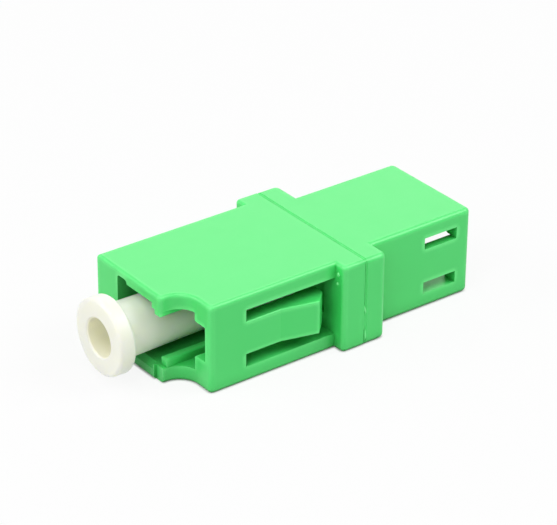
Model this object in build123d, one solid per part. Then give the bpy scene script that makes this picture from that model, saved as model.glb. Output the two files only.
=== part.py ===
from build123d import *
from math import radians, tan
import os

# A simplex adapter that joins two small-form fibre plugs end to end, in millimetres.
# It lies on its side. X is the optical axis, and the origin is where that axis crosses
# the weld seam: the capped front port opens to -X, the free rear port to +X. The latch of
# each plug is on the -Y side, and Z is the width of the plugs.
# Both housing halves are drawn with X as the distance from the seam, and the front half
# is mirrored to its place at the end.

# Plug port, the same in both halves
port = 4.6                 # the square that takes a plug body, centred on the optical axis
side_wall = 1.18           # wall above and below the port
inner_rail = 0.65          # rails along the latch side of the port, across Y
inner_rail_height = 0.55   # and across Z
lug_channel = 1.36         # channel outside the inner rails, for the latch lugs, across Y
outer_rail_height = 0.92   # rails outside the channel, across Z
rail_round = 0.15          # rounding of the rails' edges
lead_in = 0.4              # bevel at the mouth of the port
lead_in_start = 0.35       # flat land left between the lead-in bevel and the inner rails
relief_width = 1.15        # grooves in the port's two far corners, across Y
relief_depth = 0.7         # and across Z
relief_round = 0.25

# Front half
front_length = 14.94       # seam to the front edge
latch_setback = 2.0        # from the front edge back to that of the latch side
front_rail = 1.19          # depth of the outer rails at the mouth, across Y
front_near_wall = 0.66
front_far_wall = 2.64
far_skin = 0.6             # wall between the far arm's pocket and the port
rail_lift = 0.11           # the inner rails sit this much higher than the rear half's
tongue_margin = 0.03       # from the inner rails to the tongue's side
tongue_round = 0.33
scoop_land = 0.07          # flat left between the scoop and the tongue's rounded corner
lip_step = 0.2             # the lower tongue's corner stands back by this
lip_step_width = 0.88      # along the lower tongue's edge
nose_setback = 0.52        # from the front edge to the lower inner rail
nose_bevel = 0.08
far_corner_round = 0.15
near_corner_round = 0.33

# Panel arms, one moulded in each narrow side of the front half
arm_width = 2.66           # across Z
arm_thickness = 1.25
arm_straight = 3.05        # from the root to the kink
arm_end_gap = 0.93         # from the arm's end to the collar
arm_hook = 1.0             # slanted end face, the same across X and Y
arm_proud = 0.71           # how far the tip stands out of the side
arm_round = 0.12

# Rear half
rear_length = 11.2
rear_land = 1.32           # from the latch shoulders to the rear edge
rear_rail = 0.44           # depth of the latch passage past the lug channel, across Y
rear_near_wall = 0.72
rear_far_wall = 1.32
lug_window = 3.05          # length of the windows over the caught lugs
rear_corner_round = 0.42

# Collar, split by the weld seam
collar_step = 1.0          # how far it stands out past the front half, each side
collar_front = 2.02
collar_rear = 1.9
front_collar_round = 0.33
rear_collar_round = 0.5
seam_bevel = 0.13          # bevel on both halves along the seam
front_edge_round = 0.27    # rounding of the upper and lower edges
rear_edge_round = 0.34

# Middle wall, barrels and sleeve
bulkhead = 1.5             # half of the middle wall, seam to the port's floor
barrel_length = 2.8        # each barrel, past the middle wall
barrel_diameter = 2.75
ferrule_diameter = 1.25
sleeve_wall = 0.185
sleeve_length = 6.8
sleeve_slit = 0.25
sleeve_clearance = 0.05    # round the sleeve
sleeve_float = 0.05        # at each end of the sleeve
lip_opening = 1.46         # hole that a ferrule enters by, smaller than the sleeve
lip_taper = 16             # degrees that this hole opens outward by, to guide the ferrule
spigot_diameter = 4.0      # ring that centres the halves before they are welded
spigot_height = 0.45
spigot_clearance = 0.05

# Dust cap
cap_tube_diameter = 4.14   # at the flange
cap_draft = 0.9            # degrees
cap_flange_diameter = 5.86
cap_flange_thickness = 1.3
cap_flange_round = 0.25
cap_standoff = 1.92        # from the front edge of the housing to the flange
cap_hole = 2.94            # blind hole in the outer end
cap_hole_depth = 6.6
cap_hole_bevel = 0.12
cap_web = 0.8              # wall that closes the tube
cap_end_gap = 0.5          # from the inner end to the port's floor
cap_clearance = 0.04       # round the barrel
cap_mouth_bevel = 0.15

# Levels that follow from the sizes above
half_port = port / 2
half_height = half_port + side_wall
half_stem = half_port - inner_rail_height
half_latch = half_port - outer_rail_height
latch_lift = 2 * rail_lift
shoulder = rear_length - rear_land  # the faces that the latch lugs catch on, in both halves
inner_rail_y = -(half_port + inner_rail)
channel_y = inner_rail_y - lug_channel
front_rail_y = channel_y - front_rail
front_near_y = front_rail_y - front_near_wall
front_far_y = half_port + front_far_wall
rear_rail_y = channel_y - rear_rail
rear_near_y = rear_rail_y - rear_near_wall
rear_far_y = half_port + rear_far_wall
collar_near_y = front_near_y - collar_step
collar_far_y = front_far_y + collar_step
tongue_y = inner_rail_y - tongue_margin
latch_side_length = front_length - latch_setback
scoop_radius = latch_setback - tongue_round - scoop_land
arm_inner_y = front_near_y + arm_thickness
barrel_end = bulkhead + barrel_length
sleeve_radius = ferrule_diameter / 2 + sleeve_wall
past = 1.0                 # how far cutting tools run past the faces that they cut


def outline(corners):
    """A face from (x, y, radius) corners, each rounded by its own radius."""
    face = make_face(Polyline(*[(x, y) for x, y, _ in corners], close=True)).face()
    for x, y, radius in corners:
        if radius > 0:
            corner = face.vertices().sort_by_distance((x, y))[0]
            face = face.fillet_2d(radius, [corner])
    return face


def slab(corners, half):
    """A plan outline made as thick as twice its half thickness, about Z = 0."""
    return extrude(outline(corners), half, both=True)


def block(x, y, z):
    """A box between two levels along each axis."""
    size = [high - low for low, high in (x, y, z)]
    middle = [(high + low) / 2 for low, high in (x, y, z)]
    return Pos(*middle) * Box(*size)


def round_outer_edges(body, radius):
    """Round the outline of the top and the bottom, apart from the seam side."""
    levels = body.faces().filter_by(Axis.Z)
    edges = levels.sort_by(Axis.Z)[-1].edges() + levels.sort_by(Axis.Z)[0].edges()
    return fillet([edge for edge in edges if edge.center().X > seam_bevel], radius)


def bevel_seam(body):
    """Bevel the outer edge of the seam face, so that the two halves meet in a groove."""
    middle_y = (collar_near_y + collar_far_y) / 2
    width = collar_far_y - collar_near_y - 2 * seam_bevel
    flat = Plane.YZ * Pos(middle_y, 0) * Rectangle(width, 2 * (half_height - seam_bevel))
    return body & extrude(flat, front_length + past, taper=-45)


def port_cavity(mouth, latch_y, lift):
    """The plug port from the middle wall out through the mouth, its rails lifted."""
    def one_side(stem_z, latch_z):
        return [
            (half_port, half_port, 0),
            (-half_port, half_port, 0),
            (-half_port, stem_z, rail_round),
            (inner_rail_y, stem_z, rail_round),
            (inner_rail_y, half_port, 0),
            (channel_y, half_port, 0),
            (channel_y, latch_z, rail_round),
            (latch_y, latch_z, 0),
        ]
    upper = one_side(half_stem + lift, half_latch + 2 * lift)
    lower = one_side(half_stem - lift, half_latch - 2 * lift)
    lower = [(y, -z, radius) for y, z, radius in reversed(lower)]
    profile = Plane.YZ.offset(bulkhead) * outline(upper + lower)
    return extrude(profile, mouth + past - bulkhead)


def mouth_bevel(mouth):
    """The lead-in bevels above and below the plug, clear of the inner rails."""
    inner_x, outer_x = mouth - lead_in - past, mouth + past
    inner_z, outer_z = half_port - past, half_port + lead_in + past
    wedge = Polyline(
        (inner_x, inner_z), (outer_x, outer_z), (outer_x, -outer_z), (inner_x, -inner_z),
        close=True,
    )
    width = 2 * half_port - lead_in_start
    return Pos(0, half_port, 0) * extrude(Plane.XZ * make_face(wedge), width)


def relief_grooves(mouth):
    """Grooves along the two far corners of the port."""
    top = half_port + relief_depth
    groove_y = half_port - relief_width
    profile = outline([
        (half_port, top, relief_round), (groove_y, top, relief_round),
        (groove_y, -top, relief_round), (half_port, -top, relief_round),
    ])
    return extrude(Plane.YZ.offset(barrel_end) * profile, mouth + past - barrel_end)


def rail_nose(setback, top):
    """What is cut off the front end of the lower inner rail, to leave a bevelled nose."""
    nose = front_length - setback
    wedge = Polyline(
        (nose, -half_port), (nose, top - nose_bevel), (nose - nose_bevel - past, top + past),
        (front_length + past, top + past), (front_length + past, -half_port), close=True,
    )
    width = tongue_y - past + half_port
    return Pos(0, -half_port, 0) * extrude(Plane.XZ * make_face(wedge), -width)


def barrel():
    """The tube that carries one end of the sleeve, standing on the middle wall."""
    return Pos(bulkhead, 0, 0) * Rot(0, 90, 0) * Cylinder(
        barrel_diameter / 2, barrel_length, align=(Align.CENTER, Align.CENTER, Align.MIN))


def sleeve_bore():
    """The bore round the sleeve and the narrower, tapered hole that keeps it in."""
    bore_radius = sleeve_radius + sleeve_clearance
    bore_end = sleeve_length / 2 + sleeve_float
    lip_radius = lip_opening / 2
    outer_end = barrel_end + past
    outer_radius = lip_radius + (outer_end - bore_end) * tan(radians(lip_taper))
    half_section = Polyline(
        (-past, 0), (-past, bore_radius), (bore_end, bore_radius), (bore_end, lip_radius),
        (outer_end, outer_radius), (outer_end, 0), close=True,
    )
    return revolve(make_face(half_section), Axis.X)


def panel_arm(side_y, outward):
    """A panel arm in the side at side_y: straight from its root, then ramped out."""
    tip = collar_front + arm_end_gap + arm_hook
    inner = -arm_thickness
    profile = [
        (shoulder, 0), (shoulder - arm_straight, 0), (tip, arm_proud),
        (tip - arm_hook, arm_proud - arm_hook), (tip - arm_hook, inner), (shoulder, inner),
    ]
    arm = slab([(x, side_y + outward * out, 0) for x, out in profile], arm_width / 2)
    skin = arm.edges().filter_by(
        lambda edge: outward * (edge.center().Y - side_y) > arm_proud - arm_hook
        and edge.center().X < shoulder - arm_round)
    return fillet(skin, arm_round)


def front_half():
    """The longer half: scooped mouth, panel arms and the front part of the collar."""
    body = slab([
        (0, collar_near_y, 0),
        (collar_front, collar_near_y, front_collar_round),
        (collar_front, front_near_y, 0),
        (latch_side_length, front_near_y, near_corner_round),
        (latch_side_length, tongue_y, scoop_radius),
        (front_length, tongue_y, tongue_round),
        (front_length, front_far_y, 0),
        (collar_front, front_far_y, 0),
        (collar_front, collar_far_y, front_collar_round),
        (0, collar_far_y, 0),
    ], half_height)
    body = round_outer_edges(body, front_edge_round)
    far_corner = body.edges().filter_by(Axis.Z).sort_by_distance((front_length, front_far_y, 0))[0]
    body = bevel_seam(fillet(far_corner, far_corner_round))

    latch_passage = Pos(0, 0, latch_lift) * slab([
        (shoulder, channel_y, 0), (shoulder, arm_inner_y, 0),
        (latch_side_length, front_rail_y, 0), (front_length, front_rail_y, 0),
        (front_length, channel_y, 0),
    ], half_latch)
    span_x, span_z = (collar_front, shoulder), (-half_port, half_port)
    near_window = block(span_x, (front_near_y - past, channel_y), span_z)
    far_pocket = block(span_x, (half_port + far_skin, front_far_y + past), span_z)
    body -= port_cavity(front_length, arm_inner_y, rail_lift) + latch_passage
    body -= mouth_bevel(front_length) + relief_grooves(front_length)
    body -= near_window + far_pocket
    lip_edge = tongue_y + lip_step_width
    body -= block(
        (front_length - lip_step, front_length + past), (tongue_y - past, lip_edge),
        (-half_height - past, -half_stem))
    body -= rail_nose(nose_setback, rail_lift - half_stem)
    body -= mirror(rail_nose(0, -rail_lift - half_stem), about=Plane.XY)
    body += panel_arm(front_near_y, -1) + panel_arm(front_far_y, 1)

    spigot = Rot(0, -90, 0) * Cylinder(
        spigot_diameter / 2, spigot_height, align=(Align.CENTER, Align.CENTER, Align.MIN))
    return body + barrel() + spigot - sleeve_bore()


def rear_half():
    """The shorter half: plain mouth, lug windows and the rear part of the collar."""
    body = slab([
        (0, collar_near_y, 0),
        (collar_rear, collar_near_y, rear_collar_round),
        (collar_rear, rear_near_y, 0),
        (rear_length, rear_near_y, rear_corner_round),
        (rear_length, rear_far_y, rear_corner_round),
        (collar_rear, rear_far_y, 0),
        (collar_rear, collar_far_y, rear_collar_round),
        (0, collar_far_y, 0),
    ], half_height)
    body = bevel_seam(round_outer_edges(body, rear_edge_round))

    body -= port_cavity(rear_length, rear_rail_y, 0)
    body -= mouth_bevel(rear_length) + relief_grooves(rear_length)
    window_x, window_y = (shoulder - lug_window, shoulder), (rear_near_y - past, channel_y)
    body -= block(window_x, window_y, (half_latch, half_port))
    body -= block(window_x, window_y, (-half_port, -half_latch))

    socket = Rot(0, 90, 0) * Cylinder(
        spigot_diameter / 2 + spigot_clearance, spigot_height + spigot_clearance,
        align=(Align.CENTER, Align.CENTER, Align.MIN))
    return body + barrel() - socket - sleeve_bore()


def split_sleeve():
    """The slit ceramic tube that lines the two ferrules up."""
    tube = Rot(0, 90, 0) * (
        Cylinder(sleeve_radius, sleeve_length) - Cylinder(ferrule_diameter / 2, sleeve_length))
    slit = Pos(0, 0, sleeve_radius) * Box(sleeve_length, sleeve_slit, 2 * sleeve_radius)
    return tube - slit


def dust_cap():
    """The plug for the front port: a flanged tube that slips over the barrel."""
    back = -(front_length + cap_standoff)
    front = back - cap_flange_thickness
    inner_end = -(bulkhead + cap_end_gap)
    web_front = front + cap_hole_depth
    web_back = web_front + cap_web
    tube_radius = cap_tube_diameter / 2
    inner_radius = tube_radius - (inner_end - back) * tan(radians(cap_draft))
    bore_radius = barrel_diameter / 2 + cap_clearance
    hole_radius, flange_radius = cap_hole / 2, cap_flange_diameter / 2
    section = Polyline(
        (front, hole_radius + cap_hole_bevel), (front, flange_radius), (back, flange_radius),
        (back, tube_radius), (inner_end, inner_radius), (inner_end, bore_radius),
        (web_back, bore_radius), (web_back, 0), (web_front, 0), (web_front, hole_radius),
        (front + cap_hole_bevel, hole_radius), close=True,
    )
    cap = revolve(make_face(section), Axis.X)
    rims = cap.edges().filter_by(GeomType.CIRCLE)
    flange = rims.filter_by(lambda edge: abs(edge.radius - flange_radius) < cap_hole_bevel)
    cap = fillet(flange, cap_flange_round)
    mouth = cap.edges().filter_by(GeomType.CIRCLE).sort_by(Axis.X)[-2:]
    return chamfer(mouth, cap_mouth_bevel)


parts = {
    "front_housing": mirror(front_half(), about=Plane.YZ),
    "rear_housing": rear_half(),
    "split_sleeve": split_sleeve(),
    "dust_cap": dust_cap(),
}

os.makedirs("parts", exist_ok=True)
for name, part in parts.items():
    export_step(part, f"parts/{name}.step")
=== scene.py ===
# %% [markdown]
# # A fibre adapter on a white table
#
# The adapter is three kinds of material in one small object: a green moulded housing in
# two welded halves, an ivory dust cap, and a white ceramic sleeve deep inside. The solids
# come from the CAD model, in metres. This lesson gives each one its finish, models the thin
# bead of plastic that the weld squeezed out, and sets up the camera, the table and the
# light. We start by loading the solids and noting the size of the whole part.

# %% Load the adapter
from math import cos, radians, sin

import bmesh
import bpy
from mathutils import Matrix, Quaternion, Vector
from mathutils.noise import noise as smooth_noise


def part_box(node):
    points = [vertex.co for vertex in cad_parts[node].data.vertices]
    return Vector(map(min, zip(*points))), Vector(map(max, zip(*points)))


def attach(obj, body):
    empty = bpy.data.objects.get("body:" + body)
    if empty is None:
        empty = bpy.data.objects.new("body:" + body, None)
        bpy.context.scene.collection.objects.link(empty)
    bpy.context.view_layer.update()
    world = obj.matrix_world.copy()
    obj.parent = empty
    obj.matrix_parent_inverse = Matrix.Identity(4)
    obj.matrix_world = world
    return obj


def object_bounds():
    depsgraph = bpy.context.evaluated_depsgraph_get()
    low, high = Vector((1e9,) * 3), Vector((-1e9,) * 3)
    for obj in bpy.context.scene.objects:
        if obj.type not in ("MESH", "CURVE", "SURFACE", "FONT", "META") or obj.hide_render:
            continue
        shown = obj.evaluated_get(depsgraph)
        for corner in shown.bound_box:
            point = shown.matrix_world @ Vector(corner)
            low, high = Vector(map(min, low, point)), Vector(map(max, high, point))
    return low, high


MM = 0.001

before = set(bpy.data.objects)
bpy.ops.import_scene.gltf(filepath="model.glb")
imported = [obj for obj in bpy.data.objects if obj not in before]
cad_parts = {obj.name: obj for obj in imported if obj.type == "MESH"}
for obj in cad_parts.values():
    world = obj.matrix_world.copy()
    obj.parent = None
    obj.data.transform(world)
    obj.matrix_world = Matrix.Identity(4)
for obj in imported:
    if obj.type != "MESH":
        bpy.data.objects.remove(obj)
cad_low, cad_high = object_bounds()
cad_size = Vector(cad_high) - Vector(cad_low)
print("nodes:", sorted(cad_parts))
print("size in mm:", [round(side / MM, 2) for side in cad_size])


# %% [markdown]
# ## Shader maths as plain expressions
#
# A material in Blender is a graph of nodes. Adding Math nodes one by one makes long, dull
# scripts, so we wrap a socket in a small class: adding or multiplying two wrapped sockets
# adds the Math node for us. Every other node comes from one method, `node`, which takes the
# node's type, its settings and its inputs. That keeps each finish below short enough to
# read as a recipe.

# %% A socket that can be added and multiplied
class Value:
    """One output socket in a node tree. Arithmetic on it adds Math nodes."""

    def __init__(self, graph, socket):
        self.graph, self.socket = graph, socket

    def math(self, operation, first, second):
        inputs = {0: first, 1: second}
        return self.graph.node("ShaderNodeMath", {"operation": operation}, inputs)[0]

    def __add__(self, other):
        return self.math("ADD", self, other)

    def __sub__(self, other):
        return self.math("SUBTRACT", self, other)

    def __rsub__(self, other):
        return self.math("SUBTRACT", other, self)

    def __mul__(self, other):
        return self.math("MULTIPLY", self, other)

    def __pow__(self, other):
        return self.math("POWER", self, other)

    __radd__ = __add__
    __rmul__ = __mul__


# %% A node tree with one method that adds any node
class Graph:
    """The node tree of a material or a world, emptied and ready for new nodes."""

    def __init__(self, owner):
        owner.use_nodes = True
        self.tree = owner.node_tree
        self.tree.nodes.clear()

    def node(self, kind, settings=None, inputs=None):
        """Add a node and return its outputs as values, by name and by number."""
        made = self.tree.nodes.new(kind)
        for name, setting in (settings or {}).items():
            setattr(made, name, setting)
        for name, given in (inputs or {}).items():
            if isinstance(given, Value):
                self.tree.links.new(given.socket, made.inputs[name])
            else:
                made.inputs[name].default_value = given
        outputs = {number: Value(self, socket) for number, socket in enumerate(made.outputs)}
        outputs.update({socket.name: Value(self, socket) for socket in made.outputs})
        return outputs

    def mix_colours(self, factor, first, second):
        """A colour between two colours: the first where the factor is 0."""
        settings = {"data_type": "RGBA"}
        return self.node("ShaderNodeMix", settings, {0: factor, 6: first, 7: second})[2]

    def clamped_product(self, first, second):
        """The product of two numbers, kept between 0 and 1."""
        settings = {"operation": "MULTIPLY", "use_clamp": True}
        return self.node("ShaderNodeMath", settings, {0: first, 1: second})[0]

    def openness(self, reach, samples, inside=False):
        """From 1, where nothing is within reach of the surface, down to 0 in a deep hole.

        With inside, it looks into the plastic instead, and falls where that is thin.
        """
        settings = {"samples": samples, "inside": inside}
        return self.node("ShaderNodeAmbientOcclusion", settings, {"Distance": reach})["AO"]


# %% [markdown]
# ## Moulded plastic
#
# The housing is moulded in a satin green plastic. Up close such a surface isn't one flat
# colour: the pigment is a little cloudy, the melt left faint streaks along the mould, the
# polish varies, and there is a very fine grain. Each of these is one noise texture at its
# own scale. The colour and the gloss change slowly, over millimetres, and the grain is a
# shallow bump a few hundredths of a millimetre across. We use Object coordinates, because
# the solids lie where they were modelled, so the pattern stays on the surface when the
# camera moves. A streak is the same noise, stretched along the housing by a Mapping node.

# %% Sizes of the patterns in moulded plastic
CLOUD_SIZE = 2.5 * MM
PIGMENT_SHARE = 0.65
STREAK_SIZE = 0.9 * MM
STREAK_STRETCH = (0.15, 1.0, 1.0)
STREAK_SHARE = 0.35
POLISH_SIZE = 1.2 * MM
POLISH_DETAIL = 3.0
POLISH_SHARE = 0.06
GRAIN_SIZE = 0.05 * MM
GRAIN_DETAIL = 4.0
GRAIN_HEIGHT = 0.01 * MM
GRAIN_STRENGTH = 0.03
PLASTIC_IOR = 1.58
WAX_DEPTH = 1.0 * MM


def noise(graph, place, size, detail=2.0):
    """A cloudy value from 0 to 1, with blotches of about the size given in metres."""
    inputs = {"Vector": place, "Scale": 1 / size, "Detail": detail}
    return graph.node("ShaderNodeTexNoise", {}, inputs)[0]


print("grain of", GRAIN_SIZE / MM, "mm, clouds of", CLOUD_SIZE / MM, "mm")


# %% The recipe for moulded plastic
def moulded_plastic(name, light, deep, roughness, wax=0.0, glow=(1.0, 1.0, 1.0),
                    ior=PLASTIC_IOR, tint=None):
    """Satin moulded plastic: cloudy pigment, faint streaks, uneven polish, a fine grain.

    Wax is how much of the light goes through the surface. Glow is how far its red, green
    and blue parts go. Tint is a function that changes the colour and gloss by place.
    """
    material = bpy.data.materials.new(name)
    graph = Graph(material)
    place = graph.node("ShaderNodeTexCoord")["Object"]
    stretch = {"Vector": place, "Scale": STREAK_STRETCH}
    pigment = noise(graph, place, CLOUD_SIZE)
    streaks = noise(graph, graph.node("ShaderNodeMapping", {}, stretch)[0], STREAK_SIZE)
    polish = noise(graph, place, POLISH_SIZE, POLISH_DETAIL)
    grain = noise(graph, place, GRAIN_SIZE, GRAIN_DETAIL)
    clouds = PIGMENT_SHARE * pigment + STREAK_SHARE * streaks
    colour = graph.mix_colours(clouds, (*light, 1), (*deep, 1))
    gloss = roughness + POLISH_SHARE * (polish - 0.5)
    if tint:
        colour, gloss = tint(graph, place, colour, gloss)
    bump = {"Strength": GRAIN_STRENGTH, "Distance": GRAIN_HEIGHT, "Height": grain}
    surface = graph.node("ShaderNodeBsdfPrincipled", {}, {
        "Base Color": colour,
        "Roughness": gloss,
        "IOR": ior,
        "Subsurface Weight": wax,
        "Subsurface Radius": glow,
        "Subsurface Scale": WAX_DEPTH,
        "Normal": graph.node("ShaderNodeBump", {}, bump)[0],
    })
    graph.node("ShaderNodeOutputMaterial", {}, {"Surface": surface[0]})
    return material


# %% [markdown]
# ## Painted shade in the cavities
#
# In the slots round the arms and inside the ports the green turns deeper. Light bounces
# there from green wall to green wall, and each bounce takes out more of the other colours.
# We could leave this to the light alone, but a few bounces in a render don't go as far as
# the real ones, and white gloss washes them out. So we paint the shade in. The Ambient
# Occlusion node tells how open a place is, and below a certain openness we mix in a deeper
# green as painted shade and raise the roughness.

# %% Painted shade: deeper green in the cavities
CAVITY_REACH = 2.2 * MM
CAVITY_SHADE_GREEN = (0.006, 0.240, 0.028)
CAVITY_SHADE_START = 0.64
CAVITY_SHADE_SHARE = 2.0
CAVITY_DULL = 0.5
SHADE_SAMPLES = 6


def painted_cavity_shade(graph, place, colour, gloss):
    """Paint shade in: the colour deeper and duller where the surface is hemmed in, as in the
    slots.
    """
    openness = graph.openness(CAVITY_REACH, SHADE_SAMPLES)
    painted_shade = graph.clamped_product(CAVITY_SHADE_START - openness, CAVITY_SHADE_SHARE)
    # Painted shade: the deeper green is mixed in where the surface is hemmed in.
    deeper = graph.mix_colours(painted_shade, colour, (*CAVITY_SHADE_GREEN, 1))
    return deeper, gloss + CAVITY_DULL * painted_shade


# %% [markdown]
# ## Painted highlights on the edges
#
# Along the outer edges we paint the green paler. This is a painted highlight that stands for
# the bright lines light leaves along rounded edges. The same node finds these edges when it
# looks inwards, because there the plastic is thin. Its reach has to stay below the thinnest
# wall, 0.48 mm, or the wall would show as a pale patch. We hold the highlight back deep in
# the slots and ports, where the surface isn't open, and beside the seam, where the edges
# show no such highlight.

# %% Painted highlight: paler green along the outer edges
EDGE_REACH = 0.42 * MM
# The paler green of the painted edge highlight.
EDGE_HIGHLIGHT_GREEN = (0.140, 0.920, 0.250)
EDGE_HIGHLIGHT_SHARE = 2.5
EDGE_OPEN = 4.0
SEAM_PLAIN = 0.3 * MM
SEAM_FADE = 0.6 * MM


def painted_edge_highlights(graph, place, colour, gloss):
    """Paint a highlight on the outer edges, but not those of the seam, then paint shade into
    the cavities.
    """
    thickness = graph.openness(EDGE_REACH, SHADE_SAMPLES, inside=True)
    openness = graph.openness(CAVITY_REACH, SHADE_SAMPLES)
    along = graph.node("ShaderNodeSeparateXYZ", {}, {"Vector": place})["X"]
    from_seam = graph.node("ShaderNodeMath", {"operation": "ABSOLUTE"}, {0: along})[0]
    beside_seam = graph.clamped_product(from_seam - SEAM_PLAIN, 1 / SEAM_FADE)
    # Painted highlight: where the plastic is thin at an outer edge, the green is mixed
    # paler.
    edge = (1 - thickness) * EDGE_HIGHLIGHT_SHARE * openness ** EDGE_OPEN * beside_seam
    paler = graph.mix_colours(edge, colour, (*EDGE_HIGHLIGHT_GREEN, 1))
    return painted_cavity_shade(graph, place, paler, gloss)


# %% Green plastic of the housing, and of its weld
GREEN = (0.060, 0.740, 0.155)
GREEN_DEEP = (0.052, 0.712, 0.142)
GREEN_ROUGHNESS = 0.36

green_plastic = moulded_plastic(
    "green_plastic", GREEN, GREEN_DEEP, GREEN_ROUGHNESS, tint=painted_edge_highlights)
weld_plastic = moulded_plastic(
    "weld_plastic", GREEN, GREEN_DEEP, GREEN_ROUGHNESS, tint=painted_cavity_shade)
print("made", green_plastic.name, "and", weld_plastic.name)


# %% [markdown]
# ## Ivory cap plastic
#
# The dust cap is moulded in a softer, waxy plastic that lets some light through. The same
# recipe makes it, with an ivory pigment, a rougher polish and a share of subsurface
# scattering, which carries light from the flange into the hole and the tube the way wax
# does. Blue goes less far in such a plastic than red and green, so light that has bounced
# in the hollow comes out cream. The scattering alone leaves the hollow too grey, so we also
# paint that bounced light in, as a paler cream near the axis.

# %% Ivory cap plastic
IVORY = (0.905, 0.905, 0.820)
IVORY_DEEP = (0.890, 0.885, 0.775)
IVORY_ROUGHNESS = 0.40
IVORY_WAX = 0.5
IVORY_GLOW = (1.0, 1.0, 0.6)
# The paler cream is painted bounce light in the hollow.
HOLLOW_BOUNCE_CREAM = (0.990, 0.965, 0.770)
HOLLOW_RADIUS = 1.52 * MM


def painted_hollow_bounce(graph, place, colour, gloss):
    """Paint the light bounced in the hollow: a paler cream inside the tube, near the optical
    axis.
    """
    parts = graph.node("ShaderNodeSeparateXYZ", {}, {"Vector": place})
    from_axis = (parts["Y"] * parts["Y"] + parts["Z"] * parts["Z"]) ** 0.5
    inputs = {0: from_axis, 1: HOLLOW_RADIUS}
    hollow = graph.node("ShaderNodeMath", {"operation": "LESS_THAN"}, inputs)[0]
    # Painted bounce light: the cream is mixed in near the axis.
    return graph.mix_colours(hollow, colour, (*HOLLOW_BOUNCE_CREAM, 1)), gloss


ivory_plastic = moulded_plastic(
    "ivory_plastic", IVORY, IVORY_DEEP, IVORY_ROUGHNESS, IVORY_WAX, IVORY_GLOW,
    tint=painted_hollow_bounce)
print("made", ivory_plastic.name)


# %% [markdown]
# ## White ceramic
#
# The sleeve is ground and polished zirconia: white, hard and glossy, with a grain too fine
# to see. It shows only when we look into a port, past the rim of the barrel that holds it.
# The recipe is the same again, with a low roughness and the high refraction of zirconia.

# %% Zirconia sleeve
CERAMIC = (0.88, 0.87, 0.83)
CERAMIC_DEEP = (0.84, 0.83, 0.80)
CERAMIC_ROUGHNESS = 0.14
CERAMIC_IOR = 2.1

ceramic = moulded_plastic(
    "ceramic", CERAMIC, CERAMIC_DEEP, CERAMIC_ROUGHNESS, ior=CERAMIC_IOR)
print("made", ceramic.name)

# %% [markdown]
# ## Flash plastic, with a painted highlight
#
# Where plastic is squeezed into a thin edge or torn off, it turns paler than the rest. The
# bits of flash beside the weld and at the window are painted a paler green still. This is a
# painted highlight that stands for the glint on flash standing a little proud of the faces.
# They are also rougher, because no mould polished them.

# %% Painted highlight: pale green of the flash
FLASH_HIGHLIGHT_GREEN = (0.22, 0.92, 0.33)
FLASH_HIGHLIGHT_DEEP = (0.16, 0.89, 0.27)
TORN_ROUGHNESS = 0.38

# The paler green paints the highlight of proud flash, as well as the whitening of torn
# plastic.
flash_highlight_plastic = moulded_plastic("flash_highlight_plastic", FLASH_HIGHLIGHT_GREEN, FLASH_HIGHLIGHT_DEEP, TORN_ROUGHNESS)
print("made", flash_highlight_plastic.name)

# %% [markdown]
# ## The finishes on the solids
#
# The solids of the housing, cap and sleeve already have the right shape, so they stay as
# the CAD model has them. We only put a finish into each of their material slots.

# %% Put the finishes on the solids
FINISHES = {
    "front_housing": green_plastic,
    "rear_housing": green_plastic,
    "dust_cap": ivory_plastic,
    "split_sleeve": ceramic,
}
for name, material in FINISHES.items():
    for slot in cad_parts[name].material_slots:
        slot.material = material
    print(name, "is", material.name)


# %% [markdown]
# ## The weld bead
#
# The two halves of the housing are welded together by ultrasound. The bevels of both
# halves leave a V groove all round the seam, and some molten plastic fills the bottom of
# it. We could carve this into the halves, but it is a third thing, a bead that the weld
# left, so we make it as its own piece. Its path is a rectangle with rounded corners. By
# hand one would add a plane, stand it up in the seam, bevel its corners, and keep only its
# outline. A curve made from that outline gets a round section. Each point of the curve has
# a radius of its own, and varying it a little makes the bead uneven, as a weld is.

# %% Helpers for modelling by hand
def start_piece(name):
    """Name the primitive that was just added, and give back its object."""
    piece = bpy.context.object
    piece.name = name
    piece.data.name = name
    return piece


def select_faces(piece, wanted):
    """In edit mode, select just the faces that the test wants."""
    mesh = bmesh.from_edit_mesh(piece.data)
    for part in (*mesh.verts, *mesh.edges, *mesh.faces):
        part.select = False
    for face in mesh.faces:
        if wanted(face):
            face.select_set(True)
    bmesh.update_edit_mesh(piece.data)


def finish_piece(piece, material):
    """Smooth a finished piece, put its place into its mesh, and fix it to the adapter."""
    bpy.ops.object.transform_apply(location=True, rotation=True, scale=True)
    bpy.ops.object.shade_smooth()
    piece.data.materials.clear()
    piece.data.materials.append(material)
    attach(piece, "adapter")
    print(piece.name, "has", len(piece.data.polygons), "faces")


# %% Size of the weld bead
BEAD_RADIUS = 0.07 * MM
BEAD_DEPTH = 0.095 * MM
BEAD_CORNER = 0.2 * MM
BEAD_CORNER_STEPS = 6
BEAD_CUTS = 60
BEAD_WAVE = 0.6 * MM
BEAD_UNEVEN = 0.18

front_low, front_high = [Vector(corner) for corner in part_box("front_housing")]
middle_y = (front_low.y + front_high.y) / 2
bead_size = (front_high - front_low) - 2 * Vector((0, BEAD_DEPTH, BEAD_DEPTH))
print("bead round", round(bead_size.y / MM, 2), "by", round(bead_size.z / MM, 2), "mm")

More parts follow.
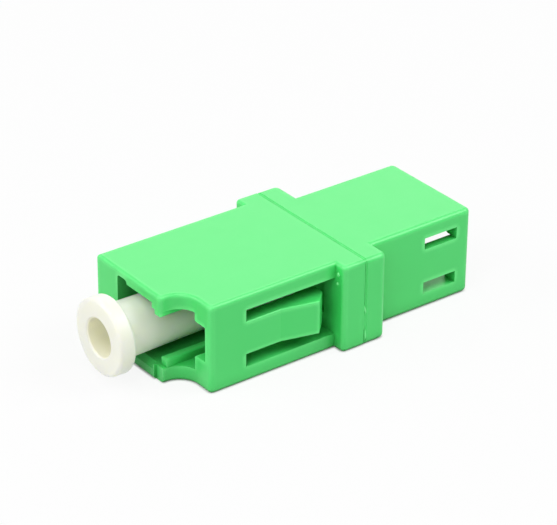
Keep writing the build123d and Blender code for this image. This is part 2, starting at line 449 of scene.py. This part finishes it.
# %% Outline of the bead: a plane that stands in the seam, without its face
bpy.ops.object.select_all(action="DESELECT")
bpy.ops.mesh.primitive_plane_add(
    size=1, location=(0, middle_y, 0), rotation=(0, radians(90), 0))
bead = start_piece("weld_bead")
bpy.ops.object.transform_apply(location=False, rotation=True, scale=False)
bpy.ops.transform.resize(value=(1, bead_size.y, bead_size.z))
bpy.ops.object.transform_apply(location=True, rotation=False, scale=True)
bpy.ops.object.mode_set(mode="EDIT")
bpy.ops.mesh.select_all(action="SELECT")
bpy.ops.mesh.bevel(affect="VERTICES", offset=BEAD_CORNER, segments=BEAD_CORNER_STEPS)
bpy.ops.mesh.delete(type="ONLY_FACE")
outline = bmesh.from_edit_mesh(bead.data)
for edge in outline.edges:
    edge.select_set(edge.calc_length() > 2 * BEAD_CORNER)
bmesh.update_edit_mesh(bead.data)
bpy.ops.mesh.subdivide(number_cuts=BEAD_CUTS)
bpy.ops.object.mode_set(mode="OBJECT")
print("outline of", len(bead.data.vertices), "points")

# %% Round section of the bead, a little uneven
bpy.ops.object.convert(target="CURVE")
bead = bpy.context.object
bead.data.dimensions = "3D"
bead.data.bevel_depth = BEAD_RADIUS
bead.data.bevel_resolution = 2
for point in bead.data.splines[0].points:
    place = Vector(point.co[:3]) / BEAD_WAVE
    point.radius = 1 + BEAD_UNEVEN * smooth_noise(place)
bpy.ops.object.convert(target="MESH")
finish_piece(bpy.context.object, weld_plastic)


# %% [markdown]
# ## Flash beside the weld
#
# On the near side the weld squeezed out more: over a millimetre or so the groove is full
# and level with the faces, and at each end of that stretch a sliver of flash was left,
# painted pale as a highlight.
# Two more crumbs of flash sit where the collar meets the window, at the parting line of the
# mould. All are long lumps that thin out at both ends, so one helper makes them. By hand it
# is a cube, the ends of which are extruded and scaled down twice, and a Subdivision Surface
# that rounds it. Each lump is placed so that a part of it is sunk into the plastic that it
# grew out of, and no gap shows from any side.

# %% A lump of flash that thins out at both ends
def flash(name, place, size, lean, end_scale, material):
    """A lump at a place in mm, with its x, y and z sizes in mm.

    It leans in the X-Z plane by an angle in degrees. Its core is a third of its length, and
    the two steps at each end are a sixth each.
    """
    middle, size = Vector(place) * MM, Vector(size) * MM
    step = size.z / 6
    bpy.ops.object.select_all(action="DESELECT")
    bpy.ops.mesh.primitive_cube_add(size=1, location=middle)
    piece = start_piece(name)
    bpy.ops.transform.resize(value=(size.x, size.y, 2 * step))
    bpy.ops.object.transform_apply(location=True, rotation=False, scale=True)
    bpy.ops.object.mode_set(mode="EDIT")
    for way in (1, -1):
        for end in (step, 2 * step):
            select_faces(piece, lambda face: way * face.normal.z > 0.9 and
                         way * (face.calc_center_median().z - middle.z) > 0.9 * end)
            move = {"value": (0, 0, way * step)}
            bpy.ops.mesh.extrude_region_move(TRANSFORM_OT_translate=move)
            bpy.ops.transform.resize(value=(end_scale, end_scale, 1))
    bpy.ops.mesh.select_all(action="SELECT")
    bpy.ops.transform.rotate(value=radians(lean), orient_axis="Y", center_override=middle)
    bpy.ops.object.mode_set(mode="OBJECT")
    rounding = piece.modifiers.new("rounding", "SUBSURF")
    rounding.levels = rounding.render_levels = 2
    bpy.ops.object.modifier_apply(modifier=rounding.name)
    finish_piece(piece, material)


# %% Flash on the near side, just behind the collar's face
FILL_SUNK = 0.153
SLIVER_SUNK = 0.086
BLUNT, SLIM = 0.75, 0.6

near_y = front_low.y / MM
fill_y, sliver_y = near_y + FILL_SUNK, near_y + SLIVER_SUNK
flash("weld_fill", (0, fill_y, -1.58), (0.62, 0.30, 1.75), 0, BLUNT, weld_plastic)
# The slivers and crumbs take the paler green, a painted highlight.
flash("weld_sliver_upper", (0.02, sliver_y, -0.62), (0.22, 0.165, 0.85), 14, SLIM,
      flash_highlight_plastic)
flash("weld_sliver_lower", (0.10, sliver_y, -2.68), (0.26, 0.165, 1.15), 4, SLIM,
      flash_highlight_plastic)

# %% Flash at the window, on the front of the collar
collar_x = -2.02
flash("window_crumb_upper", (collar_x, -6.50, 2.68), (0.22, 0.30, 0.36), 0, SLIM,
      flash_highlight_plastic)
flash("window_crumb_lower", (collar_x, -6.42, 1.90), (0.18, 0.26, 0.24), 0, SLIM,
      flash_highlight_plastic)


# %% [markdown]
# ## The camera
#
# The picture was taken from in front of the latch side, from above, with a long lens: the
# edges that run away from us hardly converge. The angles, the distance and the lens below
# place the camera the same way. It looks at a point near the middle of the adapter.

# %% Camera
AZIMUTH = radians(37.247)
ELEVATION = radians(28.855)
ROLL = radians(0.484)
DISTANCE = 192.58 * MM
AIM = Vector((-1.51, 1.20, 0.07)) * MM
LENS_MM = 169.49
SENSOR_MM = 36.0

camera = bpy.data.objects.new("camera", bpy.data.cameras.new("camera"))
bpy.context.scene.collection.objects.link(camera)
camera.data.lens = LENS_MM
camera.data.sensor_width = SENSOR_MM
camera.data.sensor_fit = "HORIZONTAL"
camera.data.clip_start = 1 * MM
away = Vector((-sin(AZIMUTH) * cos(ELEVATION), -cos(AZIMUTH) * cos(ELEVATION),
               sin(ELEVATION)))
turned = away.to_track_quat("Z", "Y") @ Quaternion((0, 0, 1), ROLL)
camera.location = AIM + DISTANCE * away
camera.rotation_euler = turned.to_euler()
bpy.context.scene.camera = camera
print("camera at", [round(value / MM, 1) for value in camera.location], "mm")


# %% [markdown]
# ## The table
#
# The adapter lies on a plain white table. The table takes the adapter's shadow as any
# surface does. On top of that we mix in a white that only the camera, the gloss of the
# plastic and clear things see, so that the table stays white without more light on the
# adapter. That white would wash out the thin dark line where the adapter touches the table,
# so the Ambient Occlusion node holds it back within 0.2 mm of the contact.

# %% Table
TABLE_WHITE = (0.80, 0.80, 0.80, 1)
TABLE_LIFT = 0.90
TABLE_SIZE = 2.0
CONTACT_REACH = 0.2 * MM
CONTACT_DARK = 1.5
CONTACT_SAMPLES = 4
WHITE = (1, 1, 1, 1)

bpy.ops.object.select_all(action="DESELECT")
bpy.ops.mesh.primitive_plane_add(size=TABLE_SIZE, location=(0, 0, cad_low[2]))
table = bpy.context.object
table.name = "table"
print("table at", round(table.location.z / MM, 2), "mm")


# %% White of the table
def seen_rays(graph):
    """1 for what the camera sees, straight, mirrored in gloss or through glass, else 0."""
    path = graph.node("ShaderNodeLightPath")
    return path["Is Camera Ray"] + path["Is Glossy Ray"] + path["Is Transmission Ray"]


table_white = bpy.data.materials.new("table_white")
graph = Graph(table_white)
contact = graph.openness(CONTACT_REACH, CONTACT_SAMPLES) ** CONTACT_DARK
lift = seen_rays(graph) * TABLE_LIFT * contact
matte = graph.node("ShaderNodeBsdfDiffuse", {}, {"Color": TABLE_WHITE})[0]
bright = graph.node("ShaderNodeEmission", {}, {"Color": WHITE, "Strength": 1.0})[0]
mixed = graph.node("ShaderNodeMixShader", {}, {0: lift, 1: matte, 2: bright})[0]
graph.node("ShaderNodeOutputMaterial", {}, {"Surface": mixed})
table.data.materials.append(table_white)
print("made", table_white.name)


# %% [markdown]
# ## Soft studio light
#
# A small glossy part looks right when soft light comes from all round. The world is a white
# tent: the adapter gets only a little light from it, but its gloss mirrors it as white. The
# real light comes from softboxes, square lamps that face the part. One hangs overhead and
# lights the upper faces, and one to the right lights the near side. One on the far left and
# one in front light the open end, the flange and the hollow of the cap. A weak, low one
# behind leaves a sheen on the upper faces, as low light does on satin plastic. They are set
# so that a colour renders about as it is written.

# %% World
TENT_STRENGTH = 0.10

world = bpy.data.worlds.new("tent")
bpy.context.scene.world = world
graph = Graph(world)
dim = {"Color": WHITE, "Strength": TENT_STRENGTH}
full = {"Color": WHITE, "Strength": 1.0}
tent = graph.node("ShaderNodeBackground", {}, dim)[0]
backdrop = graph.node("ShaderNodeBackground", {}, full)[0]
shown = graph.node("ShaderNodeMixShader", {}, {0: seen_rays(graph), 1: tent, 2: backdrop})[0]
graph.node("ShaderNodeOutputWorld", {}, {"Surface": shown})
print("tent", TENT_STRENGTH)


# %% Softboxes
def softbox(name, energy, size, place):
    """A square lamp of a size in metres, at a place, that faces the adapter."""
    lamp = bpy.data.objects.new(name, bpy.data.lights.new(name, "AREA"))
    bpy.context.scene.collection.objects.link(lamp)
    lamp.data.energy = energy
    lamp.data.size = size
    lamp.location = place
    lamp.rotation_euler = Vector(place).to_track_quat("Z", "Y").to_euler()
    print(name, energy, "W")


softbox("overhead", 1.45, 0.40, (-0.15, -0.05, 0.63))
softbox("right_near", 2.1, 0.35, (0.34, -0.28, 0.48))
softbox("left_far", 1.4, 0.35, (-0.48, 0.30, 0.34))
softbox("front", 1.35, 0.35, (-0.48, -0.25, 0.40))
softbox("back_sheen", 0.53, 0.40, (0.33, 0.43, 0.30))

# %% [markdown]
# ## Finish
#
# The Standard view shows each colour as it is written, without a film curve.

# %% Finish
bpy.context.scene.view_settings.view_transform = "Standard"
